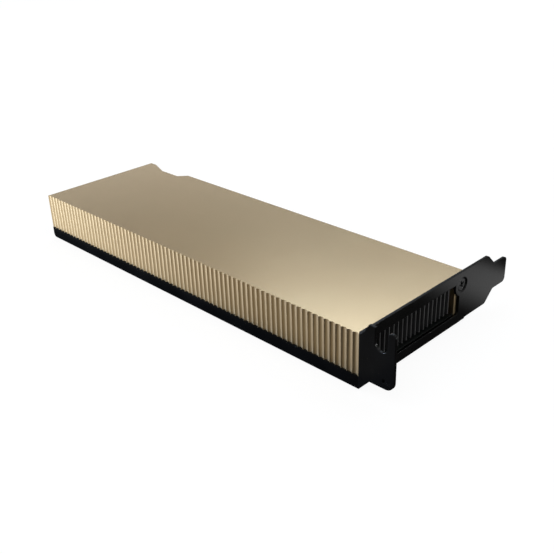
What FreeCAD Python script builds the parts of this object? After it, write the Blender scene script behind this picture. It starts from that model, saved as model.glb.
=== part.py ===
# Passive accelerator card: a low-profile, single-slot expansion card without a fan.
#
# Every sub-part is drawn in the card's plan: x runs from the far end to the slot bracket,
# y from the near long side to the edge connector, and z up from the backplate's rest face.
# The card is then moved as a whole so that the origin is below the middle of its outline.
import FreeCAD, Part
import Sketcher
import os

os.makedirs("parts", exist_ok=True)
doc = FreeCAD.newDocument("accelerator_card")

# ---------------------------------------------------------------- driving sizes, millimetres

SIZES = {
    # whole card
    "card_length": 167.65,         # far end to the bracket's outer face
    "fit_gap": 0.05,               # between pieces that are screwed up against each other
    # backplate: a shallow tray
    "backplate_setback": 0.9,      # inside the cover's connector side
    "backplate_floor": 1.0,
    "near_rim": 1.2,
    "far_rim": 1.0,
    "rim_height": 4.34,
    "backplate_round": 1.5,
    "standoff_side": 5.0,
    # main board
    "board_thick": 1.57,
    "board_gap": 0.2,              # to the backplate's rims
    "board_end_gap": 0.3,          # to the bracket
    "board_ledge": 7.35,           # beyond the cover
    "tongue_depth": 8.25,
    "tongue_start": 46.9,          # these five run from the bracket's outer face
    "key_start": 58.1,
    "key_width": 1.9,
    "tongue_stop": 131.15,
    "key_depth": 7.7,
    "hook_gap": 2.1,
    "hook_leg": 3.0,
    "hook_barb": 1.8,
    "hook_tip": 2.6,
    "contact_pitch": 1.0,
    "contact_width": 0.7,
    "contact_length": 5.4,
    "contact_thick": 0.05,
    "contact_margin": 0.5,
    "contact_count_short": 11,
    "contact_count_long": 71,
    "contact_key_offset": 1.5,
    # gold cover: a fluted channel
    "cover_inset": 0.3,            # behind the backplate's far end
    "cover_width": 53.3,
    "cover_height": 14.1,
    "cover_roof": 0.9,
    "cover_wall": 1.6,
    "flute_count": 76,
    "flute_depth": 0.55,
    "flute_land": 0.12,
    "end_land": 0.35,
    "relief_start": 3.5,
    "relief_lead": 9.0,
    "relief_flat": 10.5,
    "relief_return": 3.3,
    "relief_depth": 3.4,
    "lug_length": 6.0,             # screw lugs beside the bracket
    "near_lug": 6.4,
    "edge_lug": 5.35,
    "post_side": 5.0,
    "post_wall_overlap": 0.3,
    "post_far": 36.5,              # from the far end
    "post_near_bracket": 28.0,     # from the bracket's outer face
    # bracket
    "bracket_thick": 0.86,
    "bracket_lift": 1.07,
    "bracket_width": 18.42,
    "bracket_tail": 24.6,          # beyond the cover
    "tab_stand_off": 0.82,         # tab's outer face beyond the card's near side
    "bend_inner": 0.4,
    "bend_outer": 0.8,
    "shoulder_round": 1.6,
    "shoulder_length": 4.5,
    "tongue_length": 7.65,
    "tongue_low": 4.6,
    "tongue_width": 9.5,
    "tail_step": 0.45,             # the tail's lower edge is this much higher
    "window_start": 7.42,
    "window_edge_margin": 3.9,     # window to the cover's connector side
    "window_sill": 3.27,
    "window_height": 11.35,
    "window_round": 1.0,
    "screw_lobe": 3.9,             # sheet left round the screw in the window's corner
    "tab_depth": 12.2,             # beyond the bracket's outer face
    "tab_low": 3.91,
    "tab_high": 22.46,
    "tab_slope": 3.4,
    "tab_step": 1.5,
    "tab_round": 3.0,
    "slot_start": 5.2,
    "slot_width": 4.42,
    "slot_depth": 7.1,
    "finger_round": 1.2,
    "mark_start": 8.2,
    "mark_length": 2.6,
    "mark_width": 1.2,
    "mark_height": 5.8,
    "mark_depth": 0.4,
    # screws
    "small_screw": 2.0,
    "small_head": 3.8,
    "small_head_deep": 0.05,
    "low_head_tall": 1.3,          # of the screws under the board
    "small_hole_gap": 0.1,         # radial, through the backplate and the board
    "thread_gap": 0.05,            # radial, in threaded holes
    "post_thread": 5.5,
    "base_thread": 3.6,
    "thread_spare": 0.4,
    "bracket_screw": 2.5,
    "bracket_head": 4.4,
    "bracket_head_deep": 0.4,
    "bracket_thread": 4.5,
    "recess_length": 2.6,
    "recess_width": 0.6,
    "recess_depth": 0.8,
    "bracket_screw_edge": 2.4,     # to the cover's connector side
    "bracket_screw_z": 14.6,
    "flat_screw_y": 4.2,
    "flat_screw_z": 7.4,
    # graphics package
    "package_middle": 80.0,        # from the bracket's outer face
    "package_side": 40.0,
    "package_thick": 1.4,
    "die_side": 18.2,
    "die_thick": 0.8,
    "package_cap_length": 1.0,
    "package_cap_width": 0.5,
    "package_cap_tall": 0.4,
    "package_cap_ring": 12.5,
    "package_cap_pitch": 3.4,
    # memory
    "memory_length": 14.0,
    "memory_width": 12.0,
    "memory_thick": 1.2,
    "memory_gap": 6.0,             # from the package
    "memory_pitch": 12.6,
    "memory_pad_inset": 1.0,
    # power stages of the voltage regulator, from the far end
    "inductor_x": 23.5,
    "inductor_side": 6.8,
    "inductor_tall": 3.0,
    "inductor_pitch": 7.4,
    "inductor_pad": 0.5,
    "inductor_margin": 1.6,        # recess in the heatsink's base
    "power_stage_x": 15.2,
    "power_stage_length": 5.0,
    "power_stage_width": 6.0,
    "power_stage_tall": 0.9,
    "bulk_cap_x": 9.2,
    "bulk_cap_length": 4.3,
    "bulk_cap_width": 3.2,
    "bulk_cap_tall": 1.9,
    "bulk_cap_pitch": 6.0,
    # heatsink
    "base_thick": 2.6,
    "base_far": 6.0,
    "base_inset": 5.4,             # from the cover's outer faces
    "base_notch_gap": 0.5,         # to the cover's posts and lugs
    "fin_bracket_gap": 5.1,        # bracket's inner face to the fins
    "base_post_side": 4.0,
    "base_post_gap": 3.0,          # from the package to the posts' middles
    "base_post_y": 17.0,
    "fin_thick": 0.45,
    "fin_pitch": 2.2,
    "fin_margin": 2.0,             # to the base's sides, at least
    "fin_roof_gap": 0.3,
    # small chips, from the bracket's outer face
    "flash_x": 24.0,
    "flash_y": 20.0,
    "flash_length": 6.0,
    "flash_width": 5.0,
    "flash_tall": 1.0,
    "service_x": 19.0,
    "service_y": 34.0,
    "service_side": 7.0,
    "service_tall": 0.9,
    "crystal_x": 13.0,
    "crystal_y": 16.0,
    "crystal_length": 3.2,
    "crystal_width": 2.5,
    "crystal_tall": 0.8,
    "regulator_gap": 6.0,          # from the memory
    "regulator_side": 6.0,
    "regulator_tall": 0.9,
    "fuse_x": 38.0,
    "fuse_edge": 3.65,             # from the board's edge
    "fuse_length": 6.1,
    "fuse_width": 2.6,
    "fuse_tall": 0.7,
    # small capacitors
    "coupling_count": 32,
    "coupling_pitch": 2.0,
    "coupling_edge": 2.25,         # from the board's edge
    "coupling_length": 1.0,
    "coupling_width": 0.5,
    "coupling_tall": 0.5,
    "back_cap_count": 4,           # rows each way
    "back_cap_pitch": 5.5,
    "back_cap_length": 1.6,
    "back_cap_width": 0.8,
    "back_cap_tall": 0.8,
    "back_pad_length": 14.0,
    "back_pad_width": 26.0,
}

sheet = doc.addObject("Spreadsheet::Sheet", "Sizes")
for row, (word, number) in enumerate(SIZES.items(), start=1):
    sheet.set(f"A{row}", word)
    sheet.set(f"B{row}", str(number))
    sheet.setAlias(f"B{row}", word)
doc.recompute()


def size(word):
    """A driving size as a number, for shapes that are set in code."""
    return float(sheet.get(word))


def cell(word):
    """The same size as it is written in an expression."""
    return "Sizes." + word


# ---------------------------------------------------------------- sizes worked out from them

BRACKET_FACE = cell("card_length")
BRACKET_BACK = f"({BRACKET_FACE} - {cell('bracket_thick')})"
BOARD_TOP = cell("rim_height")
BOARD_BOTTOM = f"({BOARD_TOP} - {cell('board_thick')})"
COVER_STOP = f"({BRACKET_BACK} - {cell('fit_gap')})"
COVER_LENGTH = f"({COVER_STOP} - {cell('cover_inset')})"
LUG_START = f"({COVER_STOP} - {cell('lug_length')})"
CHANNEL_HEIGHT = f"({cell('cover_height')} - {cell('cover_roof')})"
BRACKET_REACH = f"({cell('tab_stand_off')} + {cell('cover_width')} + {cell('bracket_tail')})"
BOARD_EDGE = f"({cell('cover_width')} + {cell('board_ledge')})"
TONGUE_EDGE = f"({BOARD_EDGE} + {cell('tongue_depth')})"
BACKPLATE_WIDTH = f"({cell('cover_width')} - {cell('backplate_setback')})"
BRACKET_SCREW_Y = f"({cell('cover_width')} - {cell('bracket_screw_edge')})"
MIDDLE_Y = f"({cell('cover_width')} / 2)"
EDGE_WALL = f"({cell('cover_width')} - {cell('cover_wall')})"
PACKAGE_X = f"({BRACKET_FACE} - {cell('package_middle')})"
PACKAGE_HALF = f"({cell('package_side')} / 2)"
BASE_POST_X = f"({PACKAGE_HALF} + {cell('base_post_gap')})"
MEMORY_EDGE = f"({PACKAGE_HALF} + {cell('memory_gap')} + {cell('memory_length')})"
REGULATOR_X = (f"({PACKAGE_X} + {MEMORY_EDGE} + {cell('regulator_gap')}"
               f" + {cell('regulator_side')} / 2)")
STACK_HEIGHT = f"({cell('package_thick')} + {cell('die_thick')})"
BASE_SEAT = f"({BOARD_TOP} + {STACK_HEIGHT})"
RECESS_DEPTH = f"({cell('inductor_tall')} + {cell('inductor_pad')} - {STACK_HEIGHT})"
BASE_TOP = f"({BASE_SEAT} + {cell('base_thick')})"
FIN_STOP = f"({BRACKET_BACK} - {cell('fin_bracket_gap')})"
FIN_COUNT = (f"(floor(({cell('cover_width')} - 2 * {cell('base_inset')} - {cell('fin_thick')}"
             f" - 2 * {cell('fin_margin')}) / {cell('fin_pitch')}) + 1)")
FLUTE_PITCH = f"(({COVER_LENGTH} - {cell('end_land')}) / {cell('flute_count')})"
FLUTE_HALF = f"(({FLUTE_PITCH} - {cell('flute_land')}) / 2)"
FLUTE_RADIUS = f"(({FLUTE_HALF}^2 + {cell('flute_depth')}^2) / (2 * {cell('flute_depth')}))"
POST_NEAR_Y = f"({cell('cover_wall')} + {cell('post_side')} / 2 - {cell('post_wall_overlap')})"
POST_EDGE_Y = f"({cell('cover_width')} - {POST_NEAR_Y})"
POST_FAR_X = cell("post_far")
POST_BRACKET_X = f"({BRACKET_FACE} - {cell('post_near_bracket')})"
COVER_SCREWS = [(x, y) for x in (POST_FAR_X, POST_BRACKET_X) for y in (POST_NEAR_Y, POST_EDGE_Y)]
HEATSINK_SCREWS = [
    (f"({PACKAGE_X} {a} {BASE_POST_X})", f"({MIDDLE_Y} {b} {cell('base_post_y')})")
    for a in "-+" for b in "-+"]
HOLE_RADIUS = f"({cell('small_screw')} / 2 + {cell('small_hole_gap')})"
SUNK_DIAMETER = (f"({cell('small_head')} + 2 * {cell('small_hole_gap')}"
                 f" + 2 * {cell('small_head_deep')})")
BRACKET_THREAD = f"({cell('bracket_screw')} / 2 + {cell('thread_gap')})"
BRACKET_SUNK = (f"({cell('bracket_head')} + 2 * {cell('small_hole_gap')}"
                f" + 2 * {cell('bracket_head_deep')})")
THREAD_RADIUS = f"({cell('small_screw')} / 2 + {cell('thread_gap')})"
FRAME_X = f"-({BRACKET_FACE} + {cell('tab_depth')}) / 2"
FRAME_Y = f"({cell('tab_stand_off')} - {BRACKET_REACH} / 2)"

card_length = size("card_length")
cover_width = size("cover_width")
bracket_reach = size("tab_stand_off") + cover_width + size("bracket_tail")
board_edge = cover_width + size("board_ledge")
board_top = size("rim_height")
board_bottom = board_top - size("board_thick")
package_x = card_length - size("package_middle")
package_half = size("package_side") / 2
middle_y = cover_width / 2
package_top = board_top + size("package_thick")
base_seat = package_top + size("die_thick")
key_x = card_length - size("key_start") - size("key_width") / 2
post_near_y = size("cover_wall") + size("post_side") / 2 - size("post_wall_overlap")
frame_shift = FreeCAD.Vector(-(card_length + size("tab_depth")) / 2,
                             size("tab_stand_off") - bracket_reach / 2, 0)
X_AXIS = FreeCAD.Vector(1, 0, 0)
Z_AXIS = FreeCAD.Vector(0, 0, 1)
sub_parts = []


# ---------------------------------------------------------------- helpers

def place(part, x="0", y="0", z="0"):
    """Seats a sub-part in the card's plan and moves it with the card."""
    part.setExpression("Placement.Base.x", f"{FRAME_X} + {x}")
    part.setExpression("Placement.Base.y", f"{FRAME_Y} + {y}")
    part.setExpression("Placement.Base.z", z)
    sub_parts.append(part)


def new_body(name, **seat):
    body = doc.addObject("PartDesign::Body", name)
    body.Label = name
    place(body, **seat)
    return body


def new_sketch(body, name, plane="XY_Plane", lift=None):
    sketch = body.newObject("Sketcher::SketchObject", name)
    origin_plane = [f for f in body.Origin.OriginFeatures if f.Role == plane][0]
    sketch.AttachmentSupport = [(origin_plane, "")]
    sketch.MapMode = "FlatFace"
    if lift:
        sketch.setExpression("AttachmentOffset.Base.z", lift)
    return sketch


def fix_point(sketch, geometry, point, x, y):
    """Holds a point of the sketch at two expressions from its origin."""
    for kind, distance in (("DistanceX", x), ("DistanceY", y)):
        number = sketch.addConstraint(Sketcher.Constraint(kind, -1, 1, geometry, point, 1.0))
        sketch.setExpression(f"Constraints[{number}]", distance)


def draw_outline(sketch, corners):
    """A closed outline of straight lines through corners given as expressions."""
    count = len(corners)
    start = [FreeCAD.Vector(1, 0, 0)]
    turn = FreeCAD.Rotation(Z_AXIS, 360.0 / count)
    for _ in range(count - 1):
        start.append(turn.multVec(start[-1]))
    lines = [sketch.addGeometry(Part.LineSegment(start[i], start[(i + 1) % count]))
             for i in range(count)]
    for i, line in enumerate(lines):
        sketch.addConstraint(Sketcher.Constraint("Coincident", line, 2, lines[(i + 1) % count], 1))
    for line, (x, y) in zip(lines, corners):
        fix_point(sketch, line, 1, x, y)


def draw_box(sketch, left, right, low, high):
    draw_outline(sketch, [(left, low), (right, low), (right, high), (left, high)])


def draw_square(sketch, x, y, side):
    half = f"({side} / 2)"
    draw_box(sketch, f"({x} - {half})", f"({x} + {half})", f"({y} - {half})", f"({y} + {half})")


def draw_circle(sketch, x, y, radius):
    circle = sketch.addGeometry(Part.Circle(FreeCAD.Vector(0, 0, 0), Z_AXIS, 1.0))
    fix_point(sketch, circle, 3, x, y)
    number = sketch.addConstraint(Sketcher.Constraint("Radius", circle, 1.0))
    sketch.setExpression(f"Constraints[{number}]", radius)


def add_feature(body, kind, name, sketch, length=None, backwards=False):
    """A pad or pocket; without a length it runs through the whole piece."""
    feature = body.newObject(f"PartDesign::{kind}", name)
    feature.Profile = sketch
    feature.Reversed = backwards
    if length:
        feature.setExpression("Length", length)
    else:
        feature.Type = "ThroughAll"
    sketch.Visibility = False
    doc.recompute()
    return feature


def add_pattern(body, name, feature, axis, step, count):
    """Repeats a feature along one of the body's own axes."""
    pattern = body.newObject("PartDesign::LinearPattern", name)
    pattern.Originals = [feature]
    origin_axis = [f for f in body.Origin.OriginFeatures if f.Role == axis][0]
    pattern.Direction = (origin_axis, [""])
    pattern.setExpression("Length", f"{step} * ({count} - 1)")
    pattern.setExpression("Occurrences", count)
    body.Tip = pattern
    doc.recompute()
    return pattern


def add_sunk_holes(body, name, sketch, hole_diameter, head_diameter, backwards=False):
    """Countersunk holes straight through a sheet."""
    hole = body.newObject("PartDesign::Hole", name)
    hole.Profile = sketch
    doc.recompute()
    hole.Reversed = backwards
    hole.DepthType = "ThroughAll"
    hole.HoleCutType = "Countersink"
    hole.HoleCutCountersinkAngle = 90
    hole.setExpression("Diameter", hole_diameter)
    hole.setExpression("HoleCutDiameter", head_diameter)
    sketch.Visibility = False
    doc.recompute()


def edges_near(shape, along, spots, reach=0.02):
    """Names of the straight edges along one direction whose lines pass through the spots."""
    names = []
    for number, edge in enumerate(shape.Edges, start=1):
        first, last = edge.Vertexes[0].Point, edge.Vertexes[-1].Point
        run = last - first
        if run.Length < 1e-6 or run.cross(along).Length > 1e-6 * run.Length:
            continue
        for spot in spots:
            if (first - spot).cross(along).Length < reach:
                names.append(f"Edge{number}")
                break
    return names


def round_edges(body, name, radius_word, along, spots):
    base = body.Tip
    fillet = body.newObject("PartDesign::Fillet", name)
    fillet.Base = (base, edges_near(base.Shape, along, spots))
    fillet.setExpression("Radius", cell(radius_word))
    body.Tip = fillet
    doc.recompute()
    return fillet


def add_chip(name, x, y, z, length, width, tall):
    """One plain component: its middle in plan and its seat are expressions."""
    chip = doc.addObject("Part::Box", name)
    chip.Label = name
    chip.setExpression("Length", length)
    chip.setExpression("Width", width)
    chip.setExpression("Height", tall)
    place(chip, f"({x}) - ({length}) / 2", f"({y}) - ({width}) / 2", z)


def add_group(name, solids):
    """Like pieces in one node: separate solids, drawn in the card's plan."""
    group = doc.addObject("Part::Feature", name)
    group.Label = name
    group.Shape = Part.makeCompound(solids)
    group.Placement = FreeCAD.Placement(frame_shift, FreeCAD.Rotation())
    sub_parts.append(group)


def block(x, y, z, length, width, tall):
    """A block with its middle at x and y, standing on z."""
    corner = FreeCAD.Vector(x - length / 2, y - width / 2, z)
    return Part.makeBox(length, width, tall, corner)


def centred(count, pitch, middle):
    """Places of a row of count pieces about its middle."""
    return [middle + (i - (count - 1) / 2) * pitch for i in range(int(count))]


# ---------------------------------------------------------------- backplate

def make_backplate():
    body = new_body("backplate")
    floor = new_sketch(body, "floor_plan")
    draw_box(floor, "0", COVER_STOP, "0", BACKPLATE_WIDTH)
    add_feature(body, "Pad", "floor_pad", floor, cell("backplate_floor"))
    rims = new_sketch(body, "rim_plan")
    draw_outline(rims, [
        ("0", "0"), (COVER_STOP, "0"), (COVER_STOP, cell("near_rim")),
        (cell("far_rim"), cell("near_rim")), (cell("far_rim"), BACKPLATE_WIDTH),
        ("0", BACKPLATE_WIDTH)])
    add_feature(body, "Pad", "rim_pad", rims, cell("rim_height"))
    standoffs = new_sketch(body, "standoff_plan")
    for x, y in COVER_SCREWS:
        draw_square(standoffs, x, y, cell("standoff_side"))
    add_feature(body, "Pad", "standoff_pad", standoffs, BOARD_BOTTOM)
    round_edges(body, "far_round", "backplate_round", FreeCAD.Vector(0, 1, 0),
                [FreeCAD.Vector(0, 0, 0)])
    holes = new_sketch(body, "hole_plan")
    for x, y in COVER_SCREWS:
        draw_circle(holes, x, y, HOLE_RADIUS)
    add_sunk_holes(body, "screw_holes", holes, f"2 * {HOLE_RADIUS}", SUNK_DIAMETER,
                   backwards=True)


# ---------------------------------------------------------------- main board

def make_main_board():
    body = new_body("main_board", z=BOARD_BOTTOM)
    plan = new_sketch(body, "board_plan")
    far_x = f"({cell('far_rim')} + {cell('board_gap')})"
    near_y = f"({cell('near_rim')} + {cell('board_gap')})"
    end_x = f"({BRACKET_BACK} - {cell('board_end_gap')})"
    edge, tip = BOARD_EDGE, TONGUE_EDGE
    tongue_start = f"({BRACKET_FACE} - {cell('tongue_start')})"
    key_start = f"({BRACKET_FACE} - {cell('key_start')})"
    key_stop = f"({key_start} - {cell('key_width')})"
    key_floor = f"({tip} - {cell('key_depth')})"
    tongue_stop = f"({BRACKET_FACE} - {cell('tongue_stop')})"
    hook_start = f"({tongue_stop} - {cell('hook_gap')})"
    hook_stop = f"({hook_start} - {cell('hook_leg')})"
    barb = f"({hook_stop} - {cell('hook_barb')})"
    barb_low = f"({tip} - {cell('hook_tip')})"
    draw_outline(plan, [
        (far_x, near_y), (end_x, near_y), (end_x, edge),
        (tongue_start, edge), (tongue_start, tip), (key_start, tip), (key_start, key_floor),
        (key_stop, key_floor), (key_stop, tip), (tongue_stop, tip), (tongue_stop, edge),
        (hook_start, edge), (hook_start, tip), (barb, tip), (barb, barb_low),
        (hook_stop, barb_low), (hook_stop, edge), (far_x, edge)])
    add_feature(body, "Pad", "board_pad", plan, cell("board_thick"))
    holes = new_sketch(body, "hole_plan")
    for x, y in COVER_SCREWS + HEATSINK_SCREWS:
        draw_circle(holes, x, y, HOLE_RADIUS)
    add_feature(body, "Pocket", "screw_holes", holes, backwards=True)


def make_edge_contacts():
    """Plated contacts on both faces of the tongue, either side of the key."""
    pitch = size("contact_pitch")
    offset = size("contact_key_offset")
    places = [key_x + offset + i * pitch for i in range(int(size("contact_count_short")))]
    places += [key_x - offset - i * pitch for i in range(int(size("contact_count_long")))]
    tip = board_edge + size("tongue_depth")
    middle = tip - size("contact_margin") - size("contact_length") / 2
    thick = size("contact_thick")
    add_group("edge_contacts", [
        block(x, middle, z, size("contact_width"), size("contact_length"), thick)
        for x in places for z in (board_top, board_bottom - thick)])


# ---------------------------------------------------------------- gold cover

def make_cover():
    body = new_body("cover", z=BOARD_TOP)
    start = cell("cover_inset")
    relief = [f"({start} + {cell('relief_start')})"]
    for word in ("relief_lead", "relief_flat", "relief_return"):
        relief.append(f"({relief[-1]} + {cell(word)})")

    def edge_side(wall):
        """The connector side, stepped in where it passes the far screw of the board."""
        inner = f"({wall} - {cell('relief_depth')})"
        return [(COVER_STOP, wall), (relief[3], wall), (relief[2], inner),
                (relief[1], inner), (relief[0], wall), (start, wall)]

    outside = new_sketch(body, "outside_plan")
    draw_outline(outside, [(start, "0"), (COVER_STOP, "0")] + edge_side(cell("cover_width")))
    add_feature(body, "Pad", "outside_pad", outside, cell("cover_height"))
    inside = new_sketch(body, "channel_plan")
    draw_outline(inside, [(start, cell("cover_wall")), (COVER_STOP, cell("cover_wall"))]
                 + edge_side(EDGE_WALL))
    add_feature(body, "Pocket", "channel", inside, CHANNEL_HEIGHT, backwards=True)

    lugs = new_sketch(body, "lug_plan")
    half_wall = f"({cell('cover_wall')} / 2)"
    draw_box(lugs, LUG_START, COVER_STOP, half_wall, cell("near_lug"))
    draw_box(lugs, LUG_START, COVER_STOP, f"({cell('cover_width')} - {cell('edge_lug')})",
             f"({cell('cover_width')} - {half_wall})")
    add_feature(body, "Pad", "lug_pad", lugs, CHANNEL_HEIGHT)
    posts = new_sketch(body, "post_plan")
    for x, y in COVER_SCREWS:
        draw_square(posts, x, y, cell("post_side"))
    add_feature(body, "Pad", "post_pad", posts, CHANNEL_HEIGHT)

    flutes = new_sketch(body, "flute_plan")
    first = f"({start} + {FLUTE_PITCH} / 2)"
    draw_circle(flutes, first, f"({cell('flute_depth')} - {FLUTE_RADIUS})", FLUTE_RADIUS)
    flute = add_feature(body, "Pocket", "flute", flutes, backwards=True)
    add_pattern(body, "flutes", flute, "X_Axis", FLUTE_PITCH, cell("flute_count"))

    threads = new_sketch(body, "post_thread_plan")
    for x, y in COVER_SCREWS:
        draw_circle(threads, x, y, THREAD_RADIUS)
    add_feature(body, "Pocket", "post_threads", threads,
                f"({cell('post_thread')} + {cell('thread_spare')})", backwards=True)
    sides = new_sketch(body, "lug_thread_plan", "YZ_Plane", lift=COVER_STOP)
    draw_circle(sides, BRACKET_SCREW_Y, f"({cell('bracket_screw_z')} - {BOARD_TOP})",
                BRACKET_THREAD)
    draw_circle(sides, cell("flat_screw_y"), f"({cell('flat_screw_z')} - {BOARD_TOP})",
                THREAD_RADIUS)
    add_feature(body, "Pocket", "lug_threads", sides,
                f"({cell('bracket_thread')} + {cell('thread_spare')})")
    sink = new_sketch(body, "lug_sink_plan", "YZ_Plane", lift=COVER_STOP)
    draw_circle(sink, BRACKET_SCREW_Y, f"({cell('bracket_screw_z')} - {BOARD_TOP})",
                f"({BRACKET_SUNK} / 2 - {cell('bracket_thick')})")
    add_feature(body, "Pocket", "lug_sink", sink,
                f"({BRACKET_SUNK} / 2 - {cell('bracket_thick')} - {cell('bracket_screw')} / 2)")


# ---------------------------------------------------------------- slot bracket

def make_bracket():
    body = new_body("bracket", x=BRACKET_BACK, y=f"-{cell('tab_stand_off')}",
                    z=cell("bracket_lift"))
    width, tongue_low = cell("bracket_width"), cell("tongue_low")
    shoulder_stop = f"({BRACKET_REACH} - {cell('tongue_length')})"
    shoulder_start = f"({shoulder_stop} - {cell('shoulder_length')})"
    tongue_high = f"({tongue_low} + {cell('tongue_width')})"
    tail_start = f"({cell('tab_stand_off')} + {cell('cover_width')})"
    tail_step = cell("tail_step")
    face = new_sketch(body, "face_plan", "YZ_Plane")
    draw_outline(face, [
        ("0", "0"), (tail_start, "0"), (f"({tail_start} + {tail_step})", tail_step),
        (shoulder_start, tail_step), (shoulder_stop, tongue_low),
        (BRACKET_REACH, tongue_low), (BRACKET_REACH, tongue_high), (shoulder_stop, tongue_high),
        (shoulder_start, width), ("0", width)])
    add_feature(body, "Pad", "face_pad", face, cell("bracket_thick"))

    thick = cell("bracket_thick")
    outer = f"({thick} + {cell('tab_depth')})"
    slope = f"({thick} + {cell('tab_slope')})"
    step = f"({thick} + {cell('tab_step')})"
    slot_left = f"({thick} + {cell('slot_start')})"
    slot_right = f"({slot_left} + {cell('slot_width')})"
    low, high = cell("tab_low"), cell("tab_high")
    slot_floor = f"({high} - {cell('slot_depth')} + {cell('slot_width')} / 2)"
    tab = new_sketch(body, "tab_plan", "XZ_Plane")
    draw_outline(tab, [
        ("0", "0"), (thick, "0"), (slope, low), (outer, low), (outer, high),
        (slot_right, high), (slot_right, slot_floor), (slot_left, slot_floor),
        (slot_left, high), (f"({step} + {cell('tab_step')})", high),
        (step, f"({width} + {cell('tab_step')})"), (thick, width), ("0", width)])
    add_feature(body, "Pad", "tab_pad", tab, thick, backwards=True)
    slot_end = new_sketch(body, "slot_end_plan", "XZ_Plane")
    draw_circle(slot_end, f"({slot_left} + {cell('slot_width')} / 2)", slot_floor,
                f"({cell('slot_width')} / 2)")
    add_feature(body, "Pocket", "slot_end", slot_end, thick)

    window = new_sketch(body, "window_plan", "YZ_Plane")
    window_stop = (f"({cell('tab_stand_off')} + {cell('cover_width')}"
                   f" - {cell('window_edge_margin')})")
    window_top = f"({cell('window_sill')} + {cell('window_height')})"
    draw_box(window, cell("window_start"), window_stop, cell("window_sill"), window_top)
    add_feature(body, "Pocket", "window", window, backwards=True)
    round_bracket(body)

    mark = new_sketch(body, "mark_plan", "XZ_Plane")
    mark_left = f"({thick} + {cell('mark_start')})"
    draw_box(mark, mark_left, f"({mark_left} + {cell('mark_length')})",
             cell("mark_height"), f"({cell('mark_height')} + {cell('mark_width')})")
    add_feature(body, "Pocket", "mark", mark, cell("mark_depth"))
    screw_y = f"({BRACKET_SCREW_Y} + {cell('tab_stand_off')})"
    screw_z = f"({cell('bracket_screw_z')} - {cell('bracket_lift')})"
    lobe = new_sketch(body, "lobe_plan", "YZ_Plane")
    draw_circle(lobe, screw_y, screw_z, cell("screw_lobe"))
    add_feature(body, "Pad", "lobe", lobe, thick)
    main_hole = new_sketch(body, "screw_plan", "YZ_Plane", lift=thick)
    draw_circle(main_hole, screw_y, screw_z, f"({cell('bracket_head')} / 2)")
    add_sunk_holes(body, "screw_hole", main_hole,
                   f"({cell('bracket_screw')} + 2 * {cell('small_hole_gap')})", BRACKET_SUNK)
    small_hole = new_sketch(body, "flat_screw_plan", "YZ_Plane", lift=thick)
    draw_circle(small_hole, f"({cell('flat_screw_y')} + {cell('tab_stand_off')})",
                f"({cell('flat_screw_z')} - {cell('bracket_lift')})", HOLE_RADIUS)
    add_sunk_holes(body, "flat_screw_hole", small_hole, f"2 * {HOLE_RADIUS}", SUNK_DIAMETER)


def round_bracket(body):
    """The fold and the corners of the sheet."""
    thick, width = size("bracket_thick"), size("bracket_width")
    low, high = size("tongue_low"), size("tongue_low") + size("tongue_width")
    outer = thick + size("tab_depth")
    slot_right = thick + size("slot_start") + size("slot_width")
    sill, top = size("window_sill"), size("window_sill") + size("window_height")
    left = size("window_start")
    right = size("tab_stand_off") + cover_width - size("window_edge_margin")
    shoulder_stop = bracket_reach - size("tongue_length")
    shoulder_start = shoulder_stop - size("shoulder_length")
    vector = FreeCAD.Vector
    y_axis = vector(0, 1, 0)
    round_edges(body, "tab_corner", "tab_round", y_axis, [vector(outer, 0, size("tab_low"))])
    round_edges(body, "finger_corners", "finger_round", y_axis, [
        vector(outer, 0, size("tab_high")), vector(slot_right, 0, size("tab_high"))])
    round_edges(body, "window_corners", "window_round", X_AXIS, [
        vector(0, y, z) for y in (left, right) for z in (sill, top)])
    round_edges(body, "shoulder_corners", "shoulder_round", X_AXIS, [
        vector(0, shoulder_start, size("tail_step")), vector(0, shoulder_start, width),
        vector(0, shoulder_stop, low), vector(0, shoulder_stop, high),
        vector(0, bracket_reach, low), vector(0, bracket_reach, high)])
    round_edges(body, "fold_inside", "bend_inner", Z_AXIS, [vector(thick, thick, 0)])
    round_edges(body, "fold_outside", "bend_outer", Z_AXIS, [vector(0, 0, 0)])


# ---------------------------------------------------------------- heatsink

def make_heatsink_base():
    """Vapour chamber plate on the package, the memory and the inductors."""
    body = new_body("heatsink_base", z=BASE_SEAT)
    near = cell("base_inset")
    edge = f"({cell('cover_width')} - {near})"
    plan = new_sketch(body, "base_plan")
    draw_box(plan, cell("base_far"), f"({LUG_START} - {cell('base_notch_gap')})", near, edge)
    add_feature(body, "Pad", "base_pad", plan, cell("base_thick"))
    notches = new_sketch(body, "notch_plan")
    for x, y in COVER_SCREWS:
        draw_square(notches, x, y, f"({cell('post_side')} + 2 * {cell('base_notch_gap')})")
    add_feature(body, "Pocket", "notches", notches, backwards=True)
    recess = new_sketch(body, "recess_plan")
    half = f"({cell('inductor_side')} / 2 + {cell('inductor_margin')})"
    draw_box(recess, f"({cell('inductor_x')} - {half})", f"({cell('inductor_x')} + {half})",
             near, edge)
    add_feature(body, "Pocket", "recess", recess, RECESS_DEPTH, backwards=True)
    posts = new_sketch(body, "post_plan")
    for x, y in HEATSINK_SCREWS:
        draw_square(posts, x, y, cell("base_post_side"))
    add_feature(body, "Pad", "posts", posts, STACK_HEIGHT, backwards=True)
    threads = new_sketch(body, "thread_plan", lift=f"-{STACK_HEIGHT}")
    for x, y in HEATSINK_SCREWS:
        draw_circle(threads, x, y, THREAD_RADIUS)
    add_feature(body, "Pocket", "threads", threads,
                f"({cell('base_thread')} + {cell('thread_spare')})", backwards=True)


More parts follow.
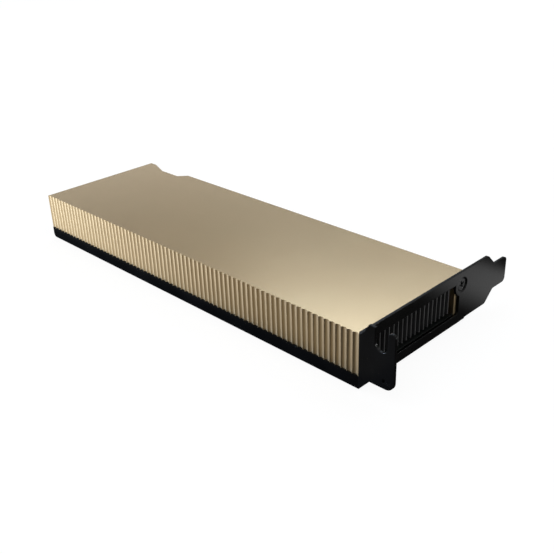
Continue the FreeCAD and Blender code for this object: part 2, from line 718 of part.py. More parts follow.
def make_fins():
    """Upright fins along the air's way, from the far end to just behind the window."""
    body = new_body("heatsink_fins", z=BASE_TOP)
    plan = new_sketch(body, "fin_plan")
    first = f"({MIDDLE_Y} - ({FIN_COUNT} - 1) * {cell('fin_pitch')} / 2)"
    half = f"({cell('fin_thick')} / 2)"
    draw_box(plan, cell("base_far"), FIN_STOP, f"({first} - {half})", f"({first} + {half})")
    tall = f"({BOARD_TOP} + {CHANNEL_HEIGHT} - {cell('fin_roof_gap')} - {BASE_TOP})"
    fin = add_feature(body, "Pad", "fin", plan, tall)
    add_pattern(body, "fins", fin, "Y_Axis", cell("fin_pitch"), FIN_COUNT)


# ---------------------------------------------------------------- chips on the board

def make_package():
    side, die = cell("package_side"), cell("die_side")
    add_chip("gpu_substrate", PACKAGE_X, MIDDLE_Y, BOARD_TOP, side, side, cell("package_thick"))
    add_chip("gpu_die", PACKAGE_X, MIDDLE_Y, f"({BOARD_TOP} + {cell('package_thick')})",
             die, die, cell("die_thick"))
    ring, pitch = size("package_cap_ring"), size("package_cap_pitch")
    length, width = size("package_cap_length"), size("package_cap_width")
    tall = size("package_cap_tall")
    row = centred(6, pitch, 0)
    caps = [block(package_x + side * ring, middle_y + step, package_top, width, length, tall)
            for side in (-1, 1) for step in row]
    caps += [block(package_x + step, middle_y + side * ring, package_top, length, width, tall)
             for side in (-1, 1) for step in row]
    add_group("package_capacitors", caps)


def make_memory():
    """Six memory chips on each face of the board, with pads to the heatsink and backplate."""
    tall, floor = size("memory_thick"), size("backplate_floor")
    length, width, inset = size("memory_length"), size("memory_width"), size("memory_pad_inset")
    column = package_half + size("memory_gap") + length / 2
    spots = [(package_x + side * column, y)
             for side in (-1, 1) for y in centred(3, size("memory_pitch"), middle_y)]
    for name, low, high in (("memory", board_top + tall, base_seat),
                            ("back_memory", floor, board_bottom - tall)):
        seat = board_top if name == "memory" else high
        add_group(f"{name}_chips", [block(x, y, seat, length, width, tall) for x, y in spots])
        add_group(f"{name}_pads", [
            block(x, y, low, length - 2 * inset, width - 2 * inset, high - low)
            for x, y in spots])


def make_regulator():
    rows = centred(5, size("inductor_pitch"), middle_y)
    side, tall = size("inductor_side"), size("inductor_tall")
    add_group("inductors", [
        block(size("inductor_x"), y, board_top, side, side, tall) for y in rows])
    add_chip("inductor_pad", cell("inductor_x"), MIDDLE_Y,
             f"({BOARD_TOP} + {cell('inductor_tall')})", cell("inductor_side"),
             f"(4 * {cell('inductor_pitch')} + {cell('inductor_side')})", cell("inductor_pad"))
    add_group("power_stages", [
        block(size("power_stage_x"), y, board_top, size("power_stage_length"),
              size("power_stage_width"), size("power_stage_tall")) for y in rows])
    add_group("bulk_capacitors", [
        block(size("bulk_cap_x"), y, board_top, size("bulk_cap_width"),
              size("bulk_cap_length"), size("bulk_cap_tall"))
        for y in centred(6, size("bulk_cap_pitch"), middle_y)])


def make_small_chips():
    for name, word, y in (("flash_chip", "flash", cell("flash_y")),
                          ("clock_crystal", "crystal", cell("crystal_y")),
                          ("input_fuse", "fuse", f"({BOARD_EDGE} - {cell('fuse_edge')})")):
        add_chip(name, f"{BRACKET_FACE} - {cell(word + '_x')}", y, BOARD_TOP,
                 cell(word + "_length"), cell(word + "_width"), cell(word + "_tall"))
    service_x = f"{BRACKET_FACE} - {cell('service_x')}"
    for name, word, x, y in (
            ("service_controller", "service", service_x, cell("service_y")),
            ("regulator_controller", "regulator", REGULATOR_X, MIDDLE_Y)):
        side = cell(word + "_side")
        add_chip(name, x, y, BOARD_TOP, side, side, cell(word + "_tall"))


def make_small_capacitors():
    first = key_x - 2 * size("contact_key_offset")
    add_group("coupling_capacitors", [
        block(first - i * size("coupling_pitch"), board_edge - size("coupling_edge"), board_top,
              size("coupling_width"), size("coupling_length"), size("coupling_tall"))
        for i in range(int(size("coupling_count")))])
    rows, pitch = size("back_cap_count"), size("back_cap_pitch")
    tall = size("back_cap_tall")
    add_group("back_capacitors", [
        block(x, y, board_bottom - tall, size("back_cap_length"), size("back_cap_width"), tall)
        for x in centred(rows, pitch, package_x) for y in centred(rows, pitch, middle_y)])
    add_chip("back_pad", cell("power_stage_x"), MIDDLE_Y, cell("backplate_floor"),
             cell("back_pad_length"), cell("back_pad_width"),
             f"({BOARD_BOTTOM} - {cell('backplate_floor')})")


# ---------------------------------------------------------------- screws

def turned(profile):
    """A turned piece from its half section: (radius, height) corners about the z axis."""
    corners = [FreeCAD.Vector(r, 0, z) for r, z in profile]
    face = Part.Face(Part.makePolygon(corners + corners[:1]))
    return face.revolve(FreeCAD.Vector(0, 0, 0), Z_AXIS, 360)


def many_sided(*rings):
    """A solid through regular rings about the z axis, each a radius and a height."""
    turn = FreeCAD.Rotation(Z_AXIS, 30)
    wires = []
    for radius, height in rings:
        corners = [FreeCAD.Vector(radius, 0, height)]
        for _ in range(12):
            corners.append(turn.multVec(corners[-1]))
        wires.append(Part.makePolygon(corners))
    return Part.makeLoft(wires, True, True)


def make_small_screws():
    """Screws for the cover, flush below, and for the heatsink, with heads under the board."""
    radius, head = size("small_screw") / 2, size("small_head") / 2
    low = size("small_head_deep")
    sunk = many_sided((head, low), (radius, low + head - radius),
                      (radius, board_top + size("post_thread")))
    edge_y = cover_width - post_near_y
    add_group("cover_screws", [
        sunk.translated(FreeCAD.Vector(x, y, 0))
        for x in (size("post_far"), card_length - size("post_near_bracket"))
        for y in (post_near_y, edge_y)])
    raised = many_sided((head, board_bottom - size("low_head_tall")), (head, board_bottom)).fuse(
        many_sided((radius, board_bottom), (radius, board_top + size("base_thread"))))
    post_x = package_half + size("base_post_gap")
    add_group("heatsink_screws", [
        raised.translated(FreeCAD.Vector(package_x + a * post_x,
                                         middle_y + b * size("base_post_y"), 0))
        for a in (-1, 1) for b in (-1, 1)])


def make_bracket_screws():
    """Both are countersunk from the bracket's outer face; the larger has a cross recess."""
    grip = size("bracket_thick") + size("fit_gap") + size("bracket_thread")
    flush = FreeCAD.Rotation(FreeCAD.Vector(0, 1, 0), -90)
    radius, head = size("bracket_screw") / 2, size("bracket_head") / 2
    low = size("bracket_head_deep")
    large = turned([(0, low), (head, low), (radius, low + head - radius),
                    (radius, grip), (0, grip)])
    length, width = size("recess_length"), size("recess_width")
    cross = block(0, 0, 0, length, width, low + size("recess_depth")).fuse(
        block(0, 0, 0, width, length, low + size("recess_depth")))
    large = large.cut(cross)
    across = cover_width - size("bracket_screw_edge")
    spot = FreeCAD.Vector(card_length, across, size("bracket_screw_z"))
    large.Placement = FreeCAD.Placement(spot, flush)
    add_group("bracket_screw", [large])
    radius, head, low = size("small_screw") / 2, size("small_head") / 2, size("small_head_deep")
    small = turned([(0, low), (head, low), (radius, low + head - radius),
                    (radius, grip), (0, grip)])
    spot = FreeCAD.Vector(card_length, size("flat_screw_y"), size("flat_screw_z"))
    small.Placement = FreeCAD.Placement(spot, flush)
    add_group("bracket_flat_screw", [small])


# ---------------------------------------------------------------- build, check and write

def check_and_write():
    doc.recompute()
    for item in doc.Objects:
        if "Invalid" in item.State or "Error" in item.State:
            raise RuntimeError(f"{item.Label} did not build: {item.State}")
    for part in sub_parts:
        if part.Shape.isNull() or not part.Shape.isValid() or not part.Shape.Solids:
            raise RuntimeError(f"{part.Label} has no valid solid")
    for part in sub_parts:
        part.Shape.exportStep(f"parts/{part.Label}.step")
        print(part.Label, len(part.Shape.Solids), round(part.Shape.Volume, 3))


make_backplate()
make_main_board()
make_edge_contacts()
make_cover()
make_bracket()
make_heatsink_base()
make_fins()
make_package()
make_memory()
make_regulator()
make_small_chips()
make_small_capacitors()
make_small_screws()
make_bracket_screws()
check_and_write()
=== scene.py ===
import math

import bmesh
import bpy
from mathutils import Matrix, Vector


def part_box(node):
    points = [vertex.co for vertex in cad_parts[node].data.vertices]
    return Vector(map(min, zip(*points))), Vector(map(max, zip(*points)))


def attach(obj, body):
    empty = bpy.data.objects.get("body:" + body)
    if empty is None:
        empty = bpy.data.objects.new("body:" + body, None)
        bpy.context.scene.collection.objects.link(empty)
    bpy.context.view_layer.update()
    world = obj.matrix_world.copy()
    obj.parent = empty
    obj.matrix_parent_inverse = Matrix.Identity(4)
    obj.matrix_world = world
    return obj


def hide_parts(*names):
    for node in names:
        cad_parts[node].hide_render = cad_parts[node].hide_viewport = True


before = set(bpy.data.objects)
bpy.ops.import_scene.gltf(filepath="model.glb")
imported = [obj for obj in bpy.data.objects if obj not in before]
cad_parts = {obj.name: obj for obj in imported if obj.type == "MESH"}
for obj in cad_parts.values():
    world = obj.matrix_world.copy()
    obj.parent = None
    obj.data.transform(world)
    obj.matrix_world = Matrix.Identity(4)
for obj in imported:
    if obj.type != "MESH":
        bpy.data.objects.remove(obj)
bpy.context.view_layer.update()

MM = 0.001

# heights of the sky's direction, 0 level and 1 overhead, and how bright the sky is there
SKY = ((0.32, 1.0), (0.35, 0.02), (0.45, 0.02), (0.50, 0.9))
PLAIN_LIGHT = 0.55              # the sky's even grey for matt surfaces
TABLE_GLOW = 1.07               # what the eye and gloss see of the table
TABLE_SHARE = 0.85              # the rest of the table is matt and takes the shadow

# name, place, aim, width, height, watts and colour. The strips stay below the cover's top, so
# they light the flutes and the edges and never glare on the flat top.
STRIP = 0.0092
LAMPS = (
    ("key_box", (-0.45, 0.70, 0.80), (0.05, 0, 0), 0.5, 0.38, 1.55, "#D4E6FF"),
    ("front_box", (0.10, -0.70, 0.90), (0.05, 0, 0), 0.8, 0.6, 1.6, "#E3EBFF"),
    ("rim_box", (0.60, 0.70, 0.75), (0.08, 0, 0), 0.8, 0.6, 1.3, "#FFFFFF"),
    ("edge_strip", (1.0, 0.6, STRIP), (0, 0, STRIP), 0.3, 0.017, 5, "#FFFFFF"),
    ("side_strip", (-0.9, -0.8, STRIP), (0, 0, STRIP), 0.45, 0.017, 43, "#D2E2FF"),
)


# ------------------------------------------------------------------ camera and studio

def place_camera():
    camera = bpy.data.cameras.new("camera")
    camera.sensor_width = 36
    camera.lens = 51.478
    camera.shift_x = -0.0004
    camera.shift_y = -0.0023
    camera.clip_start = 0.01
    holder = bpy.data.objects.new("camera", camera)
    holder.location = (0.197337, -0.187439, 0.134423)
    holder.rotation_euler = [math.radians(angle) for angle in (63.081, 1.815, 44.802)]
    bpy.context.collection.objects.link(holder)
    bpy.context.scene.camera = holder


def linear(hex_colour):
    """An sRGB hex colour as linear red, green, blue and alpha."""
    channels = [int(hex_colour[i:i + 2], 16) / 255 for i in (1, 3, 5)]
    return [c / 12.92 if c <= 0.04045 else ((c + 0.055) / 1.055) ** 2.4 for c in channels] + [1]


def add(tree, kind, inputs=None, **settings):
    """Adds a node; each input takes a plain value or another node's output."""
    made = tree.nodes.new("ShaderNode" + kind)
    for name, value in settings.items():
        setattr(made, name, value)
    for name, value in (inputs or {}).items():
        if isinstance(value, bpy.types.NodeSocket):
            tree.links.new(value, made.inputs[name])
        else:
            made.inputs[name].default_value = value
    return made


def backdrop_rays(tree):
    """1 for the rays that should meet a pale backdrop: those of the eye, gloss and glass."""
    path = add(tree, "LightPath")
    eye_or_gloss = add(tree, "Math", {0: path.outputs["Is Camera Ray"],
                                      1: path.outputs["Is Glossy Ray"]}, operation="MAXIMUM")
    return add(tree, "Math", {0: eye_or_gloss.outputs[0],
                              1: path.outputs["Is Transmission Ray"]}, operation="MAXIMUM")


def build_sky():
    """White low down, a dark band above it, and pale overhead; plain grey for matt surfaces."""
    world = bpy.data.worlds.new("studio")
    world.use_nodes = True
    tree = world.node_tree
    tree.nodes.clear()
    place = add(tree, "TexCoord")
    height = add(tree, "SeparateXYZ", {0: place.outputs["Generated"]})
    sky = add(tree, "ValToRGB", {"Fac": height.outputs["Z"]})
    stops = sky.color_ramp.elements
    stops.remove(stops[1])
    for number, (level, grey) in enumerate(SKY):
        stop = stops.new(level) if number else stops[0]
        stop.position, stop.color = level, (grey, grey, grey, 1)
    plain = add(tree, "RGB")
    plain.outputs[0].default_value = (PLAIN_LIGHT, PLAIN_LIGHT, PLAIN_LIGHT, 1)
    colour = add(tree, "Mix", {0: backdrop_rays(tree).outputs[0]}, data_type="RGBA")
    tree.links.new(plain.outputs[0], colour.inputs["A"])
    tree.links.new(sky.outputs["Color"], colour.inputs["B"])
    light = add(tree, "Background", {"Color": colour.outputs["Result"], "Strength": 1.0})
    output = add(tree, "OutputWorld", {"Surface": light.outputs[0]})
    output.is_active_output = True
    bpy.context.scene.world = world


def build_floor():
    """A pale table far larger than the card; the card's shadow stays on it."""
    mesh = bpy.data.meshes.new("floor")
    shape = bmesh.new()
    bmesh.ops.create_circle(shape, cap_ends=True, segments=64, radius=6)
    shape.to_mesh(mesh)
    shape.free()
    floor = bpy.data.objects.new("floor", mesh)
    floor.location.z = -0.0002
    bpy.context.collection.objects.link(floor)
    paint = bpy.data.materials.new("pale_table")
    paint.use_nodes = True
    tree = paint.node_tree
    tree.nodes.clear()
    matt = add(tree, "BsdfDiffuse", {"Color": linear("#F6F6F5")})
    glow = add(tree, "Emission", {"Color": linear("#FFFFFF"), "Strength": TABLE_GLOW})
    share = add(tree, "Math", {0: backdrop_rays(tree).outputs[0], 1: TABLE_SHARE},
                operation="MULTIPLY")
    both = add(tree, "MixShader", {0: share.outputs[0], 1: matt.outputs[0], 2: glow.outputs[0]})
    add(tree, "OutputMaterial", {"Surface": both.outputs[0]})
    mesh.materials.append(paint)


def ramp(tree, value, start, stop):
    """0 at start and 1 at stop, easing in and out."""
    made = add(tree, "MapRange", {"Value": value, "From Min": start, "From Max": stop},
               interpolation_type="SMOOTHSTEP")
    return made.outputs[0]


def build_painted_reflection_sheet():
    """Painted reflections on a glowing sheet that only gloss sees. In front of the near side it
    paints shade of the table, darkest at the card's foot as a painted contact shadow. Beside the
    bracket it paints grey with a pale streak, a painted sheen for the bracket's face."""
    mesh = bpy.data.meshes.new("painted_reflection_sheet")
    shape = bmesh.new()
    bmesh.ops.create_grid(shape, size=0.4)
    shape.to_mesh(mesh)
    shape.free()
    reflection_sheet = bpy.data.objects.new("painted_reflection_sheet", mesh)
    reflection_sheet.location.z = -0.0001
    for kind in ("camera", "diffuse", "transmission", "shadow"):
        setattr(reflection_sheet, "visible_" + kind, False)
    bpy.context.collection.objects.link(reflection_sheet)
    sheet_paint = bpy.data.materials.new("painted_reflection_sheet")
    sheet_paint.use_nodes = True
    tree = sheet_paint.node_tree
    tree.nodes.clear()
    place = add(tree, "SeparateXYZ", {0: add(tree, "TexCoord").outputs["Object"]})
    x, y = place.outputs["X"], place.outputs["Y"]
    # painted contact shadow: the reflected table goes near black along the card's foot
    painted_foot_shadow = ramp(tree, y, -0.049, -0.042)
    # painted shade: the reflected table in front of the near side darkens towards the bracket end
    wide = add(tree, "Math", {0: ramp(tree, x, -0.10, 0.05), 1: painted_foot_shadow}, operation="MAXIMUM")
    front = add(tree, "Math", {0: wide.outputs[0], 1: ramp(tree, y, 0.02, -0.02)},
                operation="MULTIPLY")
    beside = ramp(tree, x, 0.074, 0.077)
    cover = add(tree, "Math", {0: front.outputs[0], 1: beside}, operation="MAXIMUM")
    # painted sheen: a pale streak beside the bracket, grey around it, for the bracket's face to
    # reflect
    sheen = add(tree, "Math", {0: ramp(tree, y, 0.018, 0.042), 1: ramp(tree, y, 0.062, 0.052)},
                operation="MULTIPLY")
    glow = add(tree, "Mix", {0: sheen.outputs[0]}, data_type="RGBA")
    glow.inputs["A"].default_value = linear("#444342")
    glow.inputs["B"].default_value = (1.25, 1.25, 1.25, 1)      # painted sheen: the pale streak that the bracket's face reflects
    # painted shade colours: dull brown-grey for the table in front, near black at the card's foot
    foot = add(tree, "Mix", {0: painted_foot_shadow}, data_type="RGBA")
    foot.inputs["A"].default_value = linear("#847D70")
    foot.inputs["B"].default_value = linear("#141414")
    colour = add(tree, "Mix", {0: beside}, data_type="RGBA")
    tree.links.new(foot.outputs["Result"], colour.inputs["A"])
    tree.links.new(glow.outputs["Result"], colour.inputs["B"])
    # the sheet glows its painted colours where it covers and is clear elsewhere
    open_air = add(tree, "BsdfTransparent")
    shade = add(tree, "Emission", {"Color": colour.outputs["Result"], "Strength": 1.0})
    both = add(tree, "MixShader", {0: cover.outputs[0], 1: open_air.outputs[0],
                                   2: shade.outputs[0]})
    add(tree, "OutputMaterial", {"Surface": both.outputs[0]})
    mesh.materials.append(sheet_paint)


def add_lamp(name, spot, aim, width, height, power, colour):
    lamp = bpy.data.lights.new(name, "AREA")
    lamp.shape = "RECTANGLE"
    lamp.size = width
    lamp.size_y = height
    lamp.energy = power
    lamp.color = linear(colour)[:3]
    holder = bpy.data.objects.new(name, lamp)
    holder.location = spot
    holder.rotation_euler = (Vector(aim) - Vector(spot)).to_track_quat("-Z", "Y").to_euler()
    bpy.context.collection.objects.link(holder)


def build_studio():
    build_sky()
    build_floor()
    build_painted_reflection_sheet()
    for lamp in LAMPS:
        add_lamp(*lamp)


# ------------------------------------------------------------------ materials

def new_material(name):
    """An empty material and its node tree."""
    material = bpy.data.materials.new(name)
    material.use_nodes = True
    tree = material.node_tree
    tree.nodes.clear()
    return material, tree


def finish_material(tree, **inputs):
    """Ends a material with its shader, whose sockets are given by name."""
    surface = add(tree, "BsdfPrincipled", inputs)
    add(tree, "OutputMaterial", {"Surface": surface.outputs[0]})


def grain(tree, size_mm, depth_mm, edge_mm=None):
    """Fine grain in the surface; with an edge radius the edges look rounded too."""
    place = add(tree, "TexCoord")
    speckle = add(tree, "TexNoise", {"Vector": place.outputs["Object"],
                                     "Scale": 1 / (size_mm * MM), "Detail": 2.0})
    rough = add(tree, "Bump", {"Height": speckle.outputs[0], "Distance": depth_mm * MM})
    if edge_mm:
        soft_edge = add(tree, "Bevel", {"Radius": edge_mm * MM}, samples=6)
        tree.links.new(soft_edge.outputs[0], rough.inputs["Normal"])
    return rough


def clouds(tree, size_mm, low, high):
    """A slow change between two values across the piece."""
    place = add(tree, "TexCoord")
    slow = add(tree, "TexNoise", {"Vector": place.outputs["Object"],
                                  "Scale": 1 / (size_mm * MM), "Detail": 3.0})
    return add(tree, "MapRange", {"Value": slow.outputs[0], "From Min": 0.35, "From Max": 0.65,
                                  "To Min": low, "To Max": high})


def tints(tree, size_mm, one, other):
    """A slow change between two colours across the piece."""
    share = clouds(tree, size_mm, 0, 1)
    mix = add(tree, "Mix", {0: share.outputs[0]}, data_type="RGBA")
    mix.inputs["A"].default_value = linear(one)
    mix.inputs["B"].default_value = linear(other)
    return mix


def champagne_aluminium():
    """Bead-blasted, champagne anodised: a soft glow, finer on the flat top than in the flutes."""
    material, tree = new_material("champagne_anodised_aluminium")
    colour = tints(tree, 25, "#CCB68F", "#CBB48D")
    height = add(tree, "SeparateXYZ", {0: add(tree, "TexCoord").outputs["Object"]})
    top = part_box("cover")[1][2]
    side = ramp(tree, height.outputs["Z"], top, top - 0.3 * MM)
    rough = add(tree, "Math", {0: side, 1: 0.07, 2: clouds(tree, 18, 0.247, 0.253).outputs[0]},
                operation="MULTIPLY_ADD")
    finish_material(tree, **{
        "Base Color": colour.outputs["Result"], "Metallic": 1.0,
        "Roughness": rough.outputs[0], "Normal": grain(tree, 0.35, 0.012).outputs[0]})
    return material


def black_aluminium():
    """Black anodised: deep, satin, with a faint metallic sheen."""
    material, tree = new_material("black_anodised_aluminium")
    colour = tints(tree, 20, "#030303", "#050505")
    finish_material(tree, **{
        "Base Color": colour.outputs["Result"], "Metallic": 0.0, "Specular IOR Level": 0.08,
        "Roughness": clouds(tree, 12, 0.19, 0.23).outputs[0],
        "Normal": grain(tree, 0.3, 0.01).outputs[0]})
    return material


def black_steel():
    """Black zinc-nickel plated sheet steel: near black, catching light along its folds."""
    material, tree = new_material("black_plated_steel")
    colour = tints(tree, 15, "#030303", "#050505")
    finish_material(tree, **{
        "Base Color": colour.outputs["Result"], "Metallic": 0.0, "Specular IOR Level": 0.10,
        "Roughness": clouds(tree, 10, 0.22, 0.27).outputs[0],
        "Normal": grain(tree, 0.25, 0.008, 0.3).outputs[0]})
    return material


def plain_material(name, one, other, roughness, metallic):
    """A smooth finish between two close colours, with a fine grain and softened edges."""
    material, tree = new_material(name)
    finish_material(tree, **{
        "Base Color": tints(tree, 4, one, other).outputs["Result"], "Metallic": metallic,
        "Roughness": clouds(tree, 3, roughness - 0.04, roughness + 0.04).outputs[0],
        "Normal": grain(tree, 0.3, 0.005, 0.08).outputs[0]})
    return material


def paint_node(node, material):
    """Gives a CAD node its material."""
    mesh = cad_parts[node].data
    mesh.materials.clear()
    mesh.materials.append(material)


def new_piece(name, shape, materials, replaces):
    """Hangs a finished mesh on the card, in the place of the CAD nodes that it stands for."""
    mesh = bpy.data.meshes.new(name)
    shape.to_mesh(mesh)
    shape.free()
    for material in materials:
        mesh.materials.append(material)
    piece = bpy.data.objects.new(name, mesh)
    bpy.context.collection.objects.link(piece)
    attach(piece, "root")
    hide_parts(*replaces)
    return piece


def turned(profile, steps):
    """A closed turned shape about the z axis from (radius, height) corners in mm."""
    shape = bmesh.new()
    corners = [shape.verts.new((r * MM, 0, z * MM)) for r, z in profile]
    edges = [shape.edges.new(pair) for pair in zip(corners, corners[1:])]
    bmesh.ops.spin(shape, geom=corners + edges, axis=(0, 0, 1), cent=(0, 0, 0), steps=steps,
                   angle=math.tau, use_merge=True)
    bmesh.ops.remove_doubles(shape, verts=shape.verts, dist=1e-7)
    bmesh.ops.recalc_face_normals(shape, faces=shape.faces)
    return shape


def slab(middle, length, width, height):
    """A box about a middle, all in mm."""
    shape = bmesh.new()
    place = Matrix.Translation(Vector(middle) * MM) @ Matrix.Diagonal(
        (length * MM, width * MM, height * MM, 1))
    bmesh.ops.create_cube(shape, size=1, matrix=place)
    return shape


def merge_into(shape, extra):
    """Adds one shape's faces to another."""
    mesh = bpy.data.meshes.new("joining")
    extra.to_mesh(mesh)
    extra.free()
    shape.from_mesh(mesh)
    bpy.data.meshes.remove(mesh)


def cut_out(body, tool):
    """Takes one closed shape out of another."""
    holders = []
    for shape in (body, tool):
        mesh = bpy.data.meshes.new("cutting")
        shape.to_mesh(mesh)
        shape.free()
        holders.append(bpy.data.objects.new("cutting", mesh))
        bpy.context.collection.objects.link(holders[-1])
    knife = holders[0].modifiers.new("cut", "BOOLEAN")
    knife.object = holders[1]
    knife.solver = "EXACT"
    ready = bpy.context.evaluated_depsgraph_get()
    mesh = bpy.data.meshes.new_from_object(holders[0].evaluated_get(ready))
    for holder in holders:
        bpy.data.objects.remove(holder)
    result = bmesh.new()
    result.from_mesh(mesh)
    return result


def cross_recess_screw(steel):
    """The bracket's larger screw: a flush head with a tapered cross recess."""
    low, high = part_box("bracket_screw")
    head, shaft, length = 2.2, 1.25, (high[0] - low[0]) / MM        # radii and length, mm
    shape = turned([(0, -length), (shaft * 0.8, -length), (shaft, 0.35 - length),
                    (shaft, shaft - head), (head * 0.98, -0.06), (head * 0.95, 0), (0, 0)], 48)
    wing, blade = 3.0, 0.75
    for size_x, size_y in ((wing, blade), (blade, wing)):
        wings = slab((0, 0, 0), size_x, size_y, 2.0)
        deep = [v for v in wings.verts if v.co.z < 0]
        bmesh.ops.scale(wings, verts=deep, vec=(0.6, 0.6, 1))
        shape = cut_out(shape, wings)
    turn = Matrix.Rotation(math.radians(90), 4, "Y") @ Matrix.Rotation(math.radians(20), 4, "Z")
    spot = Vector((high[0], (low[1] + high[1]) / 2, (low[2] + high[2]) / 2))
    bmesh.ops.transform(shape, matrix=Matrix.Translation(spot) @ turn, verts=shape.verts)
    new_piece("cross_recess_screw", shape, [steel], ["bracket_screw"])


def six_lobe_tool(radius, depth):
    """A six-lobed driver's end, pointing up from below the z plane."""
    shape = bmesh.new()
    made = bmesh.ops.create_circle(shape, cap_ends=True, segments=24, radius=radius * MM)
    for number, corner in enumerate(made["verts"]):
        inner = 0.72 if number % 4 == 2 else 0.86 if number % 2 else 1
        corner.co *= inner
    made = bmesh.ops.extrude_face_region(shape, geom=list(shape.faces))
    raised = [item for item in made["geom"] if isinstance(item, bmesh.types.BMVert)]
    bmesh.ops.translate(shape, verts=raised, vec=(0, 0, (depth + 1) * MM))
    bmesh.ops.translate(shape, verts=shape.verts, vec=(0, 0, -MM))
    bmesh.ops.recalc_face_normals(shape, faces=shape.faces)
    return shape


def flush_screws(steel):
    """Four six-lobe countersunk screws, flush with the backplate."""
    low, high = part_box("cover_screws")
    head, shaft, length = 1.9, 1.0, (high[2] - low[2]) / MM         # radii and length, mm
    one = turned([(0, 0), (head * 0.97, 0), (head, 0.06), (shaft, head - shaft + 0.06),
                  (shaft, length), (0, length)], 32)
    one = cut_out(one, six_lobe_tool(1.0, 0.75))
    mesh = bpy.data.meshes.new("cutting")
    one.to_mesh(mesh)
    one.free()
    shape = bmesh.new()
    for x in (low[0] + head * MM, high[0] - head * MM):
        for y in (low[1] + head * MM, high[1] - head * MM):
            first = len(shape.verts)
            shape.from_mesh(mesh)
            shape.verts.ensure_lookup_table()
            bmesh.ops.translate(shape, verts=shape.verts[first:], vec=(x, y, low[2]))
    new_piece("flush_screws", shape, [steel], ["cover_screws"])


def chip_with_ends(shape, middle, length, width, height, end):
    """A block lying along y with metal ends a little larger than its body."""
    x, y, z = middle
    for low, high, face, material in (
            (-width / 2, -width / 2 + end, 0.0, 1), (-width / 2 + end, width / 2 - end, 0.03, 0),
            (width / 2 - end, width / 2, 0.0, 1)):
        block = slab((x, y + (low + high) / 2, z + (height - face) / 2), length - 2 * face,
                     high - low, height - face)
        bmesh.ops.bevel(block, geom=block.edges, affect="EDGES", offset=0.04 * MM, segments=1,
                        profile=0.5, material=-1)
        for face_made in block.faces:
            face_made.material_index = material
        merge_into(shape, block)


def coupling_row(body, tin):
    """Thirty-two ceramic capacitors with tinned ends beside the connector."""
    low, high = (Vector(corner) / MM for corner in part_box("coupling_capacitors"))
    count, pitch, across, end = 32, 2.0, 0.5, 0.24
    shape = bmesh.new()
    for number in range(count):
        middle = (low.x + across / 2 + pitch * number, (low.y + high.y) / 2, low.z)
        chip_with_ends(shape, middle, across, high.y - low.y, high.z - low.z, end)
    new_piece("coupling_row", shape, [body, tin], ["coupling_capacitors"])


def plate(outline, low, thick):
    """A flat plate from its outline in x and z, as thick as given along y, all in mm."""
    shape = bmesh.new()
    corners = [shape.verts.new((x * MM, low * MM, z * MM)) for x, z in outline]
    side = shape.faces.new(corners)
    made = bmesh.ops.extrude_face_region(shape, geom=[side])
    moved = [item for item in made["geom"] if isinstance(item, bmesh.types.BMVert)]
    bmesh.ops.translate(shape, verts=moved, vec=(0, thick * MM, 0))
    bmesh.ops.recalc_face_normals(shape, faces=shape.faces)
    return shape


def fin_stack(metal):
    """Sheet fins that run on past their base, and lower there, close up to the vent window."""
    low, high = (Vector(corner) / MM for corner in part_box("heatsink_fins"))
    base_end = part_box("heatsink_base")[1][0] / MM + 0.4
    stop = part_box("bracket")[0][0] / MM - 0.5
    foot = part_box("main_board")[1][2] / MM + 1.2
    thick, count = 0.45, 18
    pitch = (high.y - low.y - thick) / (count - 1)
    outline = [(low.x, low.z), (base_end, low.z), (base_end, foot), (stop, foot),
               (stop, high.z), (low.x, high.z)]
    shape = bmesh.new()
    for number in range(count):
        fin = plate(outline, low.y + number * pitch, thick)
        bmesh.ops.bevel(fin, geom=fin.edges, affect="EDGES", offset=0.08 * MM, segments=1,
                        profile=0.5, material=-1)
        merge_into(shape, fin)
    new_piece("fin_stack", shape, [metal], ["heatsink_fins"])


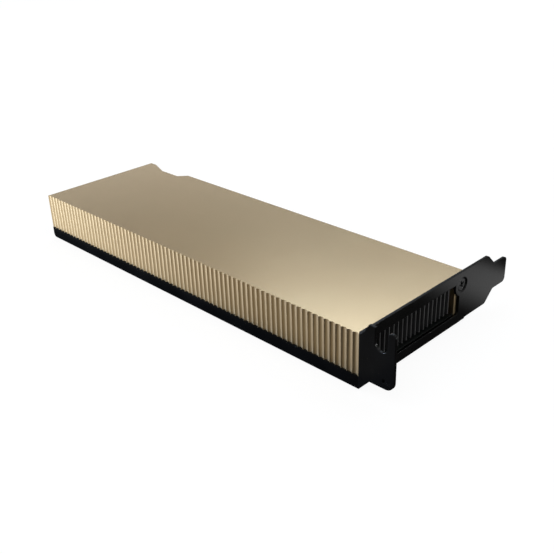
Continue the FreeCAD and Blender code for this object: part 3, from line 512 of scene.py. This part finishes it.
# name, two close colours, roughness, metallic, and the nodes that wear it
PLAIN_FINISHES = (
    # dyed black in the anodising bath, on thin rolled sheet: a flat dark grey
    ("black_anodised_fins", "#292929", "#2D2D2D", 0.45, 0.0, ["heatsink_fins"]),
    # black solder mask over glass laminate: smooth and nearly black, with a soft gloss
    ("solder_mask", "#0E1110", "#121614", 0.35, 0.0, ["main_board"]),
    # hard gold over nickel: bright, yellow and even
    ("hard_gold", "#D9A94E", "#E0B560", 0.25, 1.0, ["edge_contacts"]),
    # moulded epoxy filled with silica: dull dark grey
    ("mould_compound", "#1C1C1D", "#232324", 0.6, 0.0,
     ["memory_chips", "back_memory_chips", "power_stages", "regulator_controller",
      "flash_chip", "service_controller"]),
    # silicone filled with ceramic powder: a dull blue-grey putty
    ("silicone_pad", "#8C97A3", "#96A0AB", 0.8, 0.0,
     ["memory_pads", "back_memory_pads", "inductor_pad", "back_pad"]),
    # pressed ferrite powder: rough and charcoal grey
    ("ferrite", "#343434", "#3E3D3C", 0.75, 0.0, ["inductors"]),
    # moulded case of a polymer capacitor: near black, half matt
    ("polymer_case", "#26262A", "#2E2E33", 0.5, 0.0, ["bulk_capacitors"]),
    # fired barium titanate: tan, half matt
    ("ceramic", "#9A7B56", "#A88A64", 0.5, 0.0,
     ["package_capacitors", "coupling_capacitors", "back_capacitors"]),
    # tin over nickel: pale and bright
    ("tinned_ends", "#C6C5C0", "#D2D1CC", 0.3, 1.0, []),
    # drawn nickel can: pale grey and bright
    ("nickel_can", "#B9B9B6", "#C4C4C0", 0.3, 1.0, ["clock_crystal"]),
    # glazed white ceramic body: off-white, half matt
    ("white_ceramic", "#D8D6CF", "#DEDCD6", 0.5, 0.0, ["input_fuse"]),
    # green resin over woven glass: satin
    ("laminate", "#1E4A2B", "#235232", 0.45, 0.0, ["gpu_substrate"]),
    # polished silicon: dark, slightly blue and mirror-like
    ("silicon", "#3A3D45", "#42454E", 0.12, 0.6, ["gpu_die"]),
)


def finish_all():
    """Every node's finish, and the pieces that take the place of plainer nodes."""
    black, steel = black_aluminium(), black_steel()
    paint_node("cover", champagne_aluminium())
    for node in ("backplate", "heatsink_base"):
        paint_node(node, black)
    for node in ("bracket", "bracket_screw", "bracket_flat_screw", "cover_screws",
                 "heatsink_screws"):
        paint_node(node, steel)
    plain = {}
    for name, one, other, roughness, metallic, nodes in PLAIN_FINISHES:
        plain[name] = plain_material(name, one, other, roughness, metallic)
        for node in nodes:
            paint_node(node, plain[name])
    fin_stack(plain["black_anodised_fins"])
    coupling_row(plain["ceramic"], plain["tinned_ends"])
    cross_recess_screw(steel)
    flush_screws(steel)


# ------------------------------------------------------------------ build

bpy.context.scene.view_settings.view_transform = "Standard"
place_camera()
build_studio()
finish_all()
